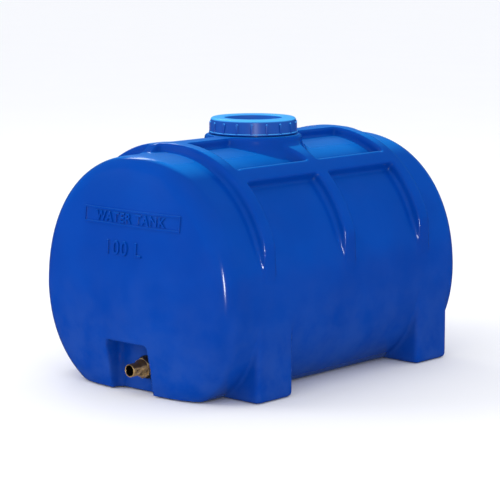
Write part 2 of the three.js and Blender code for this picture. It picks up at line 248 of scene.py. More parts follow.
def apply_modifier(piece: Piece, kind: str, **settings: object) -> None:
    """Adds a modifier to a piece and applies it.

    Args:
        piece: The piece that it works on.
        kind: The modifier's type.
        settings: Its settings by name.
    """
    modifier = piece.modifiers.new(kind.lower(), kind)
    for key, value in settings.items():
        setattr(modifier, key, value)
    activate(piece)
    bpy.ops.object.modifier_apply(modifier=modifier.name)


def combine(piece: Piece, tool: Piece, cut: Cut) -> None:
    """Joins a solid to a piece, cuts it away or keeps what both share, and removes the solid."""
    apply_modifier(piece, "BOOLEAN", operation=cut.value, solver="MANIFOLD", object=tool)
    bpy.data.objects.remove(tool)


def joined(name: str, pieces: Sequence[Piece]) -> Piece:
    """Puts several pieces in one object.

    Args:
        name: Name of the result.
        pieces: The pieces, of which the first is kept.

    Returns:
        The object that holds them all.
    """
    activate(pieces[0])
    for piece in pieces:
        piece.select_set(True)
    bpy.ops.object.join()
    return settle(pieces[0], name)


def dress(piece: Piece, material: Material) -> None:
    """Gives a piece one material all over."""
    piece.data.materials.clear()
    piece.data.materials.append(material)


def mount(
    piece: Piece, material: Material, body: str, node: str = "", sharp: float = 35.0
) -> Piece:
    """Shades a finished piece smooth, dresses it and lets it ride on its body.

    Args:
        piece: The piece.
        material: Its finish.
        body: The body that it moves with.
        node: The CAD node that it stands for, if it stands for one.
        sharp: The angle in degrees past which an edge stays sharp.

    Returns:
        The piece.
    """
    activate(piece)
    bpy.ops.object.shade_smooth_by_angle(angle=math.radians(sharp))
    dress(piece, material)
    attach(piece, body)
    if node:
        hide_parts(node)
    return piece


@dataclass(frozen=True)
class Thread:
    """Right-hand screw thread, as a ridge with sloping flanks on an upright wall."""

    wall: float
    crest: float
    start_z: float
    pitch: float = 8 * MM
    turns: float = 1.25
    root: float = 1.3 * MM
    tip: float = 0.8 * MM
    sunk: float = 0.5 * MM
    steps: int = 60

    def ridge(self, name: str, centre: Place) -> Piece:
        """Winds the ridge round its axis.

        Args:
            name: Name of the piece.
            centre: A point on the axis.

        Returns:
            The closed ridge, a little sunk into its wall.
        """
        foot = self.wall + math.copysign(self.sunk, self.wall - self.crest)
        corners = [(foot, -self.root), (self.crest, -self.tip), (self.crest, self.tip), (foot, self.root)]
        rise, turn = self.pitch * self.turns / self.steps, math.tau * self.turns / self.steps
        with drawing([Vector((r, 0.0, self.start_z + h)) + Vector(centre) for r, h in corners]) as piece:
            bpy.ops.mesh.edge_face_add()
            for _ in range(self.steps):
                bpy.ops.mesh.extrude_region_move(TRANSFORM_OT_translate={"value": (0, 0, rise)})
                # With no window the operator turns the other way, so a minus winds anticlockwise
                bpy.ops.transform.rotate(
                    value=-turn, orient_axis="Z", orient_type="GLOBAL", center_override=centre
                )
            bpy.ops.mesh.select_all(action="SELECT")
            bpy.ops.mesh.normals_make_consistent(inside=False)
        return settle(piece, name)


# ---- Materials ----

EASED = {"interpolation_type": "SMOOTHSTEP"}
COLOURS = {"data_type": "RGBA"}
TIMES = {"operation": "MULTIPLY"}
WAVE_SPACING = math.pi / 10  # metres between a wave texture's bands at scale 1


def linear(hex_colour: str) -> tuple[float, float, float, float]:
    """Turns an sRGB hex colour into linear values with full alpha.

    Args:
        hex_colour: Six hex digits, such as "0a55c4".

    Returns:
        Red, green, blue and alpha.
    """
    parts = [int(hex_colour[i : i + 2], 16) / 255 for i in (0, 2, 4)]
    light = [p / 12.92 if p <= 0.04045 else ((p + 0.055) / 1.055) ** 2.4 for p in parts]
    return (light[0], light[1], light[2], 1.0)


def feed(tree: Tree, node: bpy.types.Node, **inputs: object) -> None:
    """Sets or links a node's inputs.

    Args:
        tree: The node tree.
        node: The node.
        inputs: Values by the input's name, with underscores for spaces, or by its identifier where two
            inputs have one name. A socket as value is linked.
    """
    for key, value in inputs.items():
        socket = next(s for s in node.inputs if s.enabled and key in (s.identifier, s.name.replace(" ", "_")))
        if isinstance(value, Socket):
            tree.links.new(value, socket)
        else:
            socket.default_value = value


def add_node(
    tree: Tree, kind: str, settings: dict[str, str] | None = None, output: str = "", **inputs: object
) -> Socket:
    """Adds a node with its settings, and its inputs as values or links.

    Args:
        tree: The node tree.
        kind: The node's type.
        settings: Attributes of the node itself.
        output: Name of the output that is wanted, or nothing for the first in use.
        inputs: Its inputs, as for feed.

    Returns:
        The output.
    """
    node = tree.nodes.new(kind)
    for key, value in (settings or {}).items():
        setattr(node, key, value)
    feed(tree, node, **inputs)
    return node.outputs[output] if output else next(s for s in node.outputs if s.enabled)


@dataclass(frozen=True)
class Finish:
    """What all finishes share: a name, and a node material on Object coordinates."""

    name: str

    def material(self) -> Material:
        """Builds the material.

        Returns:
            The material.
        """
        material = bpy.data.materials.new(self.name)
        material.use_nodes = True
        tree = material.node_tree
        self.shade(tree, tree.nodes["Principled BSDF"], add_node(tree, "ShaderNodeTexCoord", output="Object"))
        return material

    def shade(self, tree: Tree, surface: bpy.types.Node, place: Socket) -> None:
        """Adds the finish's own nodes between the place on the piece and the surface shader."""
        raise NotImplementedError


@dataclass(frozen=True)
class MouldedPlastic(Finish):
    """Pigmented polyolefin with a gloss that its mould gives it.

    Rotomoulded polyethylene copies a blasted steel mould and then sinks a little as it cools: the gloss
    waves over a few centimetres, a fine orange peel breaks the edges of reflections, and the pigment sits
    slightly unevenly. Injection-moulded polypropylene is flatter and keeps only the finest of the three.
    Faces that look up are painted a lighter, greener blue as painted sky sheen, and flat tops are chalky as
    well. Dust and splashes leave a thin film low on the sides, a few per cent lighter.
    """

    pigment: str
    pigment_light: str
    # Painted sky sheen: the lighter, greener blue painted on faces that look up, and the upward share of the
    # normal where it starts and is full
    painted_sky_sheen: str
    painted_sky_sheen_from: Pair
    roughness: float
    specular: float
    ior: float = 1.5
    cloud_size: float = 120 * MM
    scuff_size: float = 45 * MM
    wave_size: float = 70 * MM
    wave_depth: float = 0.35 * MM
    peel_size: float = 3.2 * MM
    peel_depth: float = 0.012 * MM
    dust: str = "6f90b4"
    dusty_below: float = 0.0
    dust_share: float = 0.06
    chalky_from: Pair = (0.93, 0.985)
    chalky_roughness: float = 0.45

    def shade(self, tree: Tree, surface: bpy.types.Node, place: Socket) -> None:
        """Clouds the pigment, paints sky sheen on the tops, lays the dust and bumps the gloss.

        Args:
            tree: The material's tree.
            surface: Its surface shader.
            place: Object coordinates.
        """
        ranged, mix = "ShaderNodeMapRange", "ShaderNodeMix"
        noise, bump = "ShaderNodeTexNoise", "ShaderNodeBump"
        clouds = add_node(tree, noise, Vector=place, Scale=1 / self.cloud_size, Detail=3.0)
        clouds = add_node(tree, ranged, EASED, Value=clouds, From_Min=0.35, From_Max=0.68)
        pigments = linear(self.pigment), linear(self.pigment_light)
        colour = add_node(tree, mix, COLOURS, Factor=clouds, A=pigments[0], B=pigments[1])
        facing = add_node(tree, "ShaderNodeNewGeometry", output="Normal")
        upward = add_node(tree, "ShaderNodeSeparateXYZ", output="Z", Vector=facing)
        # Painted sky sheen: faces that look up are painted a lighter, greener blue
        start, full = self.painted_sky_sheen_from
        painted_sky_sheen_mask = add_node(tree, ranged, EASED, Value=upward, From_Min=start, From_Max=full)
        colour = add_node(tree, mix, COLOURS, Factor=painted_sky_sheen_mask, A=colour, B=linear(self.painted_sky_sheen))
        scuffs = add_node(tree, noise, Vector=place, Scale=1 / self.scuff_size, Detail=7.0, Roughness=0.6)
        if self.dusty_below > 0:
            height = add_node(tree, "ShaderNodeSeparateXYZ", output="Z", Vector=place)
            low = add_node(tree, ranged, EASED, Value=height, From_Min=self.dusty_below, From_Max=0.0)
            patches = add_node(tree, ranged, EASED, Value=scuffs, From_Min=0.3, From_Max=0.66)
            film = add_node(tree, "ShaderNodeMath", TIMES, Value=low, Value_001=patches)
            film = add_node(tree, "ShaderNodeMath", TIMES, Value=film, Value_001=self.dust_share)
            colour = add_node(tree, mix, COLOURS, Factor=film, A=colour, B=linear(self.dust))
        low, high = self.roughness - 0.025, self.roughness + 0.035
        gloss = add_node(tree, ranged, Value=scuffs, From_Min=0.3, From_Max=0.7, To_Min=low, To_Max=high)
        start, full = self.chalky_from
        chalky = add_node(tree, ranged, EASED, Value=upward, From_Min=start, From_Max=full)
        worn = add_node(tree, mix, Factor=chalky, A=gloss, B=self.chalky_roughness)
        waves = add_node(tree, noise, Vector=place, Scale=1 / self.wave_size, Detail=1.0)
        peel = add_node(tree, noise, Vector=place, Scale=1 / self.peel_size, Detail=2.0)
        broad = add_node(tree, bump, Strength=1.0, Distance=self.wave_depth, Height=waves)
        fine = add_node(tree, bump, Strength=1.0, Distance=self.peel_depth, Height=peel, Normal=broad)
        feed(tree, surface, Base_Color=colour, Roughness=worn, Normal=fine)
        feed(tree, surface, IOR=self.ior, Specular_IOR_Level=self.specular)


@dataclass(frozen=True)
class TurnedBrass(Finish):
    """Brass bar turned and drilled on a lathe, then left to dull in the air.

    The tool leaves fine rings round the axis, which stretch each highlight across it, and the air leaves
    brown patches between bright ones. The film of oxide scatters a part of the light. The upper side is
    darkened towards the same brown as painted shade, and the bore is painted nearly black as painted shade.
    The rings are drawn coarser than the real 0.2 mm, so that they show.
    """

    name: str = "turned_brass"
    bright: str = "f2c47c"
    # Brown of the real tarnish patches, also used as painted shade on the upper side
    tarnish_and_shade: str = "5c4630"
    # Near-black painted shade inside the bore
    painted_bore_shade: str = "120c08"
    axis_at: Pair = (16 * MM, 46 * MM)
    bore: float = 9 * MM
    patch_size: float = 9 * MM
    metallic: float = 0.55
    roughness: float = 0.2
    duller_by: float = 0.18
    tool_feed: float = 0.9 * MM
    ring_depth: float = 0.05 * MM

    def shade(self, tree: Tree, surface: bpy.types.Node, place: Socket) -> None:
        """Tarnishes the patches, paints shade on the upper side and in the bore, and cuts the rings.

        Args:
            tree: The material's tree.
            surface: Its surface shader.
            place: Object coordinates.
        """
        ranged, mix, vectors = "ShaderNodeMapRange", "ShaderNodeMix", "ShaderNodeVectorMath"
        patches = add_node(
            tree, "ShaderNodeTexNoise", Vector=place, Scale=1 / self.patch_size, Detail=5.0, Roughness=0.6
        )
        facing = add_node(tree, "ShaderNodeNewGeometry", output="Normal")
        upward = add_node(tree, "ShaderNodeSeparateXYZ", output="Z", Vector=facing)
        # Painted shade: faces that look up are darkened towards the tarnish brown
        painted_topside_shade = add_node(tree, ranged, EASED, Value=upward, From_Min=0.2, From_Max=0.55)
        patchy = add_node(tree, ranged, EASED, Value=patches, From_Min=0.38, From_Max=0.7)
        # Mask of both the real tarnish patches and the painted shade on the upper side; it also dulls the
        # gloss
        dull = add_node(tree, "ShaderNodeMath", {"operation": "MAXIMUM"}, Value=painted_topside_shade, Value_001=patchy)
        colour = add_node(tree, mix, COLOURS, Factor=dull, A=linear(self.bright), B=linear(self.tarnish_and_shade))
        # Painted shade in the bore: its wall lies nearer the axis than the rest of the bar, and there it is
        # painted nearly black
        across = add_node(tree, vectors, TIMES, Vector=place, Vector_001=(1.0, 0.0, 1.0))
        axis = (self.axis_at[0], 0.0, self.axis_at[1])
        away = add_node(tree, vectors, {"operation": "DISTANCE"}, "Value", Vector=across, Vector_001=axis)
        outer, inner = self.bore + 0.8 * MM, self.bore + 0.2 * MM
        inside = add_node(tree, ranged, EASED, Value=away, From_Min=outer, From_Max=inner)
        colour = add_node(tree, mix, COLOURS, Factor=inside, A=colour, B=linear(self.painted_bore_shade))
        dullest = self.roughness + self.duller_by
        gloss = add_node(tree, ranged, Value=dull, To_Min=self.roughness, To_Max=dullest)
        rings = add_node(
            tree, "ShaderNodeTexWave", {"bands_direction": "Y"}, "Fac",
            Vector=place, Scale=WAVE_SPACING / self.tool_feed, Distortion=0.6, Detail=1.0,
        )
        bump = add_node(tree, "ShaderNodeBump", Strength=1.0, Distance=self.ring_depth, Height=rings)
        feed(tree, surface, Base_Color=colour, Roughness=gloss, Normal=bump, Metallic=self.metallic)


@dataclass(frozen=True)
class MouldedRubber(Finish):
    """Black nitrile rubber, compression moulded: matt, with a faint grey bloom and a fine grain."""

    name: str = "moulded_black_rubber"
    black: str = "141416"
    bloom: str = "2c2c30"
    bloom_size: float = 6 * MM
    roughness: float = 0.72
    ior: float = 1.52
    grain: float = 1.1 * MM
    grain_depth: float = 0.05 * MM

    def shade(self, tree: Tree, surface: bpy.types.Node, place: Socket) -> None:
        """Clouds the black with its bloom and grains it.

        Args:
            tree: The material's tree.
            surface: Its surface shader.
            place: Object coordinates.
        """
        noise = "ShaderNodeTexNoise"
        cloud = add_node(tree, noise, Vector=place, Scale=1 / self.bloom_size, Detail=4.0)
        bloom = add_node(tree, "ShaderNodeMapRange", EASED, Value=cloud, From_Min=0.4, From_Max=0.7)
        black, grey = linear(self.black), linear(self.bloom)
        colour = add_node(tree, "ShaderNodeMix", COLOURS, Factor=bloom, A=black, B=grey)
        grain = add_node(tree, noise, Vector=place, Scale=1 / self.grain, Detail=2.0)
        bump = add_node(tree, "ShaderNodeBump", Strength=0.4, Distance=self.grain_depth, Height=grain)
        feed(tree, surface, Base_Color=colour, Normal=bump, Roughness=self.roughness, IOR=self.ior)


@dataclass(frozen=True)
class PaintedFloor(Finish):
    """Matt white studio floor, rolled paint with a barely uneven tone."""

    name: str = "matt_white_floor_paint"
    paint: str = "fbfbfb"
    paint_worn: str = "f9f9fa"
    tone_size: float = 400 * MM
    roughness: float = 0.9
    specular: float = 0.1

    def shade(self, tree: Tree, surface: bpy.types.Node, place: Socket) -> None:
        """Varies the paint's tone.

        Args:
            tree: The material's tree.
            surface: Its surface shader.
            place: Object coordinates.
        """
        tone = add_node(tree, "ShaderNodeTexNoise", Vector=place, Scale=1 / self.tone_size, Detail=2.0)
        fresh, worn = linear(self.paint), linear(self.paint_worn)
        colour = add_node(tree, "ShaderNodeMix", COLOURS, Factor=tone, A=fresh, B=worn)
        feed(tree, surface, Base_Color=colour, Roughness=self.roughness, Specular_IOR_Level=self.specular)


SHELL_PLASTIC = MouldedPlastic(
    "rotomoulded_blue_polyethylene",
    pigment="003a98",
    pigment_light="003e9e",
    # Faces that look up get a painted sky sheen
    painted_sky_sheen="0c70cc",
    painted_sky_sheen_from=(0.83, 0.96),
    roughness=0.13,
    specular=0.5,
    dusty_below=270 * MM,
)
LID_PLASTIC = MouldedPlastic(
    "injection_moulded_blue_polypropylene",
    pigment="00409e",
    pigment_light="0044a4",
    # Faces that look up get a painted sky sheen
    painted_sky_sheen="4ab6fc",
    painted_sky_sheen_from=(0.0, 0.7),
    roughness=0.3,
    specular=0.4,
    wave_depth=0.05 * MM,
    peel_size=2.4 * MM,
    peel_depth=0.006 * MM,
)
BRASS = TurnedBrass()
RUBBER = MouldedRubber()


# ---- Tank shell ----


@dataclass(frozen=True)
class DrumSection:
    """The drum's cross-section: a squarish ellipse, taller above its widest line than below it."""

    half_width: float = 227 * MM
    widest_z: float = 165.5 * MM
    height_above: float = 248.5 * MM
    depth_below: float = 199 * MM
    square_above: float = 2.17
    square_below: float = 2.28
    shoulder: float = 35 * MM
    shoulder_below: float = 76 * MM
    faded_sinks: float = 1.5 * MM

    def turn_for(self, degrees: float) -> float:
        """Gives the radians on the round form that land at an angle from the top on the section."""
        slope = math.tan(math.radians(degrees)) * self.height_above / self.half_width
        return math.atan(slope ** (self.square_above / 2))

    def wrap(
        self, piece: Piece, inset: float = 0.0, fade: Callable[[np.ndarray], np.ndarray] | None = None
    ) -> None:
        """Bends a piece that was turned about Y with the drum's half width onto the section.

        Args:
            piece: The piece. What stands outside the half width stays that far outside the section.
            inset: How far inside the drum's outer face the section lies.
            fade: Share of the height that is kept, by angle from the top in degrees.
        """
        places = vertices_of(piece)
        x, z = places[:, 0], places[:, 2]
        radius = np.maximum(np.hypot(x, z), 1e-9)
        above = z > 0
        power = np.where(above, 2 / self.square_above, 2 / self.square_below)
        sine = np.sign(x) * np.abs(x / radius) ** power
        cosine = np.sign(z) * np.abs(z / radius) ** power
        half_width = self.half_width - inset
        share = self.share_below(np.minimum(radius / half_width, 1.0), np.maximum(-z / radius, 0.0), inset)
        outside = np.maximum(radius - half_width, 0.0)
        if fade is not None:
            kept = fade(np.degrees(np.arctan2(np.abs(x), z)))
            outside = np.where(outside > 0, outside * kept - self.faded_sinks * (1 - kept), 0.0)
        height = np.where(above, self.height_above, self.depth_below) - inset
        places[:, 0] = sine * (half_width * share + outside)
        places[:, 2] = self.widest_z + cosine * (height * share + outside)
        move_vertices(piece, places)

    def share_below(self, share: np.ndarray, downwards: np.ndarray, inset: float) -> np.ndarray:
        """Lets the end's shoulder take up more of the height underneath than at the top and the sides.

        Args:
            share: Distance from the middle as a share of the whole.
            downwards: 1 straight down, 0 at the widest line and above.
            inset: How far inside the drum's outer face the section lies.

        Returns:
            The share on the section.
        """
        start = (self.half_width - self.shoulder) / (self.half_width - inset)
        start_below = (self.depth_below - self.shoulder_below) / (self.depth_below - inset)
        stretched = np.where(
            share < start, share * start_below / start, 1 - (1 - share) * (1 - start_below) / (1 - start)
        )
        return share + (stretched - share) * downwards

    def share_at(self, x: float | np.ndarray, z: float | np.ndarray) -> np.ndarray:
        """Gives how far out a place above the widest line lies, 1 on the section itself."""
        across, up = np.abs(x / self.half_width), np.abs((z - self.widest_z) / self.height_above)
        return (across**self.square_above + up**self.square_above) ** (1 / self.square_above)


@dataclass
class TankShell:
    """The one-piece moulding: drum, hoops, ribs, feet, pocket, and the neck with its thread."""

    section: DrumSection = field(default_factory=DrumSection)
    wall: float = 4 * MM
    dome_radius: float = 1050 * MM
    belly_z: float = 2 * MM
    hoop_stations: tuple[float, ...] = (-215 * MM, 0.0, 215 * MM)
    hoop_half_width: float = 17 * MM
    hoop_height: float = 17 * MM
    hoop_draft: float = 2.5 * MM
    hoop_bevel: float = 3 * MM
    hoop_root: float = 9 * MM
    hoop_ends_below: float = 60 * MM
    fade_from: float = 64.0
    fade_to: float = 86.0
    crest_rib: float = 4.5
    side_rib: Pair = (30.5, 37.5)
    web_reach: float = 140 * MM
    web_run: float = 95 * MM
    web_spread: float = 49 * MM
    ramp_sides: Pair = (4.6, 10.2)
    ramp_run: float = 24 * MM
    ramp_overlap: float = 5 * MM
    foot_x: Pair = (112 * MM, 226 * MM)
    foot_y: tuple[Pair, ...] = ((-245.5 * MM, -153.5 * MM), (197.5 * MM, 289.5 * MM))
    foot_top: float = 150 * MM
    foot_rounding: float = 8 * MM
    neck_y: float = -6.5 * MM
    plinth_radius: float = 89 * MM
    plinth_top: float = 432 * MM
    plinth_flare: tuple[Pair, ...] = (
        (14 * MM, 60 * MM), (11 * MM, 33 * MM), (4 * MM, 24 * MM), (MM, 14 * MM),
    )
    plinth_rounding: float = 5 * MM
    neck_radius: float = 71.4 * MM
    neck_bore: float = 65.4 * MM
    neck_top: float = 456 * MM
    neck_overlap: float = 6 * MM
    neck_rim: float = MM
    thread_z: float = 440 * MM
    thread_crest: float = 74 * MM
    pocket_half_width: float = 51 * MM
    pocket_top: float = 92 * MM
    pocket_depth: float = 45 * MM
    pocket_rounding: float = 5 * MM
    pocket_corner: float = 9 * MM
    pocket_draft: float = 0.06
    pocket_spare: Pair = (20 * MM, 60 * MM)
    outlet_at: Pair = (16 * MM, 46 * MM)
    outlet_hole: float = 13.3 * MM
    hole_reach: float = 15 * MM
    bore_reach: Pair = (60 * MM, 9 * MM)
    voxel: float = 3.0 * MM
    fillet_rounds: int = 4
    faces_kept: float = 0.47

    def __post_init__(self) -> None:
        """Reads the drum's length from the frame, and places the pocket's back by it."""
        low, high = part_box("tank_shell")
        self.half_length = (high[1] - low[1]) / 2
        self.pocket_back = -self.half_length + self.pocket_depth

    def end_profile(self, inset: float) -> list[Pair]:
        """Gives one end's outline, from the pole to the start of the straight barrel.

        Args:
            inset: How far inside the outer face it lies.

        Returns:
            Radius and distance from the drum's middle, point by point.
        """
        shoulder = self.section.shoulder
        centre = self.section.half_width - shoulder
        tilt = math.asin(centre / (self.dome_radius - shoulder))
        dome_centre = self.half_length - self.dome_radius
        fillet_centre = dome_centre + math.cos(tilt) * (self.dome_radius - shoulder)
        dome = arc((0.0, dome_centre), self.dome_radius - inset, 90.0, 90.0 - math.degrees(tilt), 12)
        rim = arc((centre, fillet_centre), shoulder - inset, 90.0 - math.degrees(tilt), 0.0, 10)
        return [(0.0, dome[0][1])] + dome[1:] + rim[1:]

    def drum(self, name: str, inset: float, steps: int) -> Piece:
        """Spins the drum and bends it to its section.

        Args:
            name: Name of the piece.
            inset: How far inside the outer face it lies.
            steps: Steps of the spin.

        Returns:
            The closed drum.
        """
        half = self.end_profile(inset)
        outline = [(r, -y) for r, y in half] + [(r, y) for r, y in reversed(half)]
        piece = turned(name, outline, Axis.LENGTHWISE, steps=steps)
        self.section.wrap(piece, inset)
        return piece

    def hoop_fade(self, degrees: np.ndarray) -> np.ndarray:
        """Gives the share of a hoop's height that is left at an angle from the top."""
        t = np.clip((degrees - self.fade_from) / (self.fade_to - self.fade_from), 0.0, 1.0)
        return 1 - t * t * (3 - 2 * t)

    def band_outline(self, y0: float, y1: float) -> list[Pair]:
        """Gives the outline of a raised band between two stations.

        Args:
            y0: Start of the band along the drum.
            y1: End of the band.

        Returns:
            The outline, closed on itself under the drum's face.
        """
        root = self.section.half_width - self.hoop_root
        face = self.section.half_width + 0.1 * MM
        crest = self.section.half_width + self.hoop_height
        bevel, draft = self.hoop_bevel, self.hoop_draft
        return [
            (root, y0), (face, y0), (crest - bevel, y0 + draft), (crest, y0 + draft + bevel),
            (crest, y1 - draft - bevel), (crest - bevel, y1 - draft), (face, y1), (root, y1), (root, y0),
        ]

    def hoop(self, station: float) -> Piece:
        """Makes the hoop at a station. The middle one widens on both sides towards the neck.

        Args:
            station: Its middle along the drum.

        Returns:
            The hoop, which fades into the drum's sides.
        """
        half = self.hoop_half_width
        piece = turned("hoop", self.band_outline(station - half, station + half), Axis.LENGTHWISE, steps=160)
        self.section.wrap(piece, fade=self.hoop_fade)
        cut_flat(piece, self.section.widest_z - self.hoop_ends_below)
        if station == 0:
            places = vertices_of(piece)
            inward = np.clip((self.web_reach - np.abs(places[:, 0])) / self.web_run, 0.0, 1.0)
            upper = places[:, 2] > self.section.widest_z
            places[:, 1] *= np.where(upper, 1 + self.web_spread / half * inward**2, 1.0)
            move_vertices(piece, places)
        return piece

    def rib(self, from_degrees: float, to_degrees: float) -> Piece:
        """Makes a rib along the drum between the outer hoops.

        Args:
            from_degrees: One side of it, from the top towards +X.
            to_degrees: The other side.

        Returns:
            The rib.
        """
        sides = [math.copysign(self.section.turn_for(abs(d)), d) for d in (from_degrees, to_degrees)]
        outline = self.band_outline(self.hoop_stations[0], self.hoop_stations[2])[:-1]
        piece = turned("rib", outline, Axis.LENGTHWISE, steps=8, start=sides[0], sweep=sides[1] - sides[0])
        self.section.wrap(piece)
        return piece

    def ramp(self, end: int) -> Piece:
        """Makes the small wedge that runs down from an end hoop's crest to the drum.

        Args:
            end: -1 at the front, 1 at the rear.

        Returns:
            The wedge.
        """
        face, overlap = self.section.half_width, end * self.ramp_overlap
        root, crest = face - self.hoop_root, face + self.hoop_height
        start = end * (self.hoop_stations[2] + self.hoop_half_width) - overlap
        reach = start + end * self.ramp_run + overlap
        outline = [
            (root, start), (crest - 0.5 * MM, start), (crest - 1.5 * MM, start + overlap),
            (face - MM, reach), (root, reach),
        ]
        sides = sorted(end * self.section.turn_for(degrees) for degrees in self.ramp_sides)
        piece = turned("ramp", outline, Axis.LENGTHWISE, steps=6, start=sides[0], sweep=sides[1] - sides[0])
        self.section.wrap(piece)
        return piece

    def plinth(self) -> Piece:
        """Turns the raised ring round the neck, flared where it runs into the drum.

        Returns:
            The ring, solid to its axis.
        """
        radius, top, soft = self.plinth_radius, self.plinth_top, self.plinth_rounding
        outline = [(0.0, top - self.plinth_flare[0][1])]
        outline += [(radius + out, top - down) for out, down in self.plinth_flare]
        outline += arc((radius - soft, top - soft), soft, 0.0, 90.0, 4) + [(0.0, top)]
        return turned("plinth", outline, centre=(0.0, self.neck_y, 0.0))

    def pocket(self) -> Piece:
        """Makes the cutter for the outlet pocket, with round upper corners and a little draft.

        Returns:
            The cutter.
        """
        half, (forward, below) = self.pocket_half_width, self.pocket_spare
        low, high = (-half, -self.half_length - forward, -below), (half, self.pocket_back, self.pocket_top)
        piece = block("pocket", low, high, rounding=self.pocket_corner)
        places = vertices_of(piece)
        depth = (places[:, 1] + self.half_length) / self.pocket_depth
        places[:, 0] *= 1 - self.pocket_draft * np.clip(depth, 0.0, 1.0)
        move_vertices(piece, places)
        return piece

    def neck(self) -> Piece:
        """Turns the neck, bored right through, and winds its thread round it.

        Returns:
            The neck.
        """
        root, top, rim = self.plinth_top - self.neck_overlap, self.neck_top, self.neck_rim
        inner, outer, centre = self.neck_bore, self.neck_radius, (0.0, self.neck_y, 0.0)
        outline = [(inner, root), (outer, root), (outer, top - rim), (outer - rim, top)]
        outline += [(inner + rim, top), (inner, top - rim), (inner, root)]
        piece = turned("neck", outline, centre=centre)
        thread = Thread(outer, self.thread_crest, self.thread_z)
        combine(piece, thread.ridge("neck_thread", centre), Cut.JOIN)
        return piece

    def build(self) -> Piece:
        """Models the moulding.

        Returns:
            The finished shell.
        """
        drum = self.drum("drum", 0.0, 192)
        cut_flat(drum, self.belly_z)
        combine(drum, self.pocket(), Cut.AWAY)
        sharp = math.radians(50)
        apply_modifier(
            drum, "BEVEL", width=self.pocket_rounding, segments=3, limit_method="ANGLE", angle_limit=sharp
        )
        parts = [drum, self.plinth()]
        parts += [self.hoop(station) for station in self.hoop_stations]
        near, far = self.side_rib
        for sides in ((-self.crest_rib, self.crest_rib), (near, far), (-far, -near)):
            parts.append(self.rib(*sides))
        parts += [self.ramp(end) for end in (-1, 1)]
        inner, outer = self.foot_x
        for y0, y1 in self.foot_y:
            for x0, x1 in ((inner, outer), (-outer, -inner)):
                parts.append(block("foot", (x0, y0, 0.0), (x1, y1, self.foot_top), self.foot_rounding))
        shell = joined("tank_moulding", parts)
        # The remesh welds the parts into one skin, and the smoothing gives it a moulding's fillets
        apply_modifier(shell, "REMESH", mode="VOXEL", voxel_size=self.voxel)
        apply_modifier(shell, "SMOOTH", factor=0.5, iterations=self.fillet_rounds)
        apply_modifier(shell, "DECIMATE", ratio=self.faces_kept)
        self.hollow(shell)
        combine(shell, self.neck(), Cut.JOIN)
        return shell

    def hollow(self, shell: Piece) -> None:
        """Takes the inside out of the shell, with the way in through the neck and the outlet's hole.

        Args:
            shell: The solid moulding.
        """
        cavity = self.drum("cavity", self.wall, 72)
        cut_flat(cavity, self.belly_z + self.wall)
        recess = self.pocket()
        places = vertices_of(recess)
        places += np.sign(places - places.mean(axis=0)) * self.wall
        move_vertices(recess, places)
        combine(cavity, recess, Cut.AWAY)
        combine(shell, cavity, Cut.AWAY)
        bottom, top = self.plinth_top - self.bore_reach[0], self.neck_top + self.bore_reach[1]
        bore = turned("bore", plug(self.neck_bore, bottom, top), centre=(0.0, self.neck_y, 0.0))
        combine(shell, bore, Cut.AWAY)
        front, back = self.pocket_back - self.hole_reach, self.pocket_back + self.hole_reach
        centre = (self.outlet_at[0], 0.0, self.outlet_at[1])
        hole = turned("outlet_hole", plug(self.outlet_hole, front, back), Axis.LENGTHWISE, centre, steps=48)
        combine(shell, hole, Cut.AWAY)

    def place(self, material: Material) -> Piece:
        """Builds, dresses and mounts the shell."""
        return mount(self.build(), material, "tank", "tank_shell", sharp=50.0)


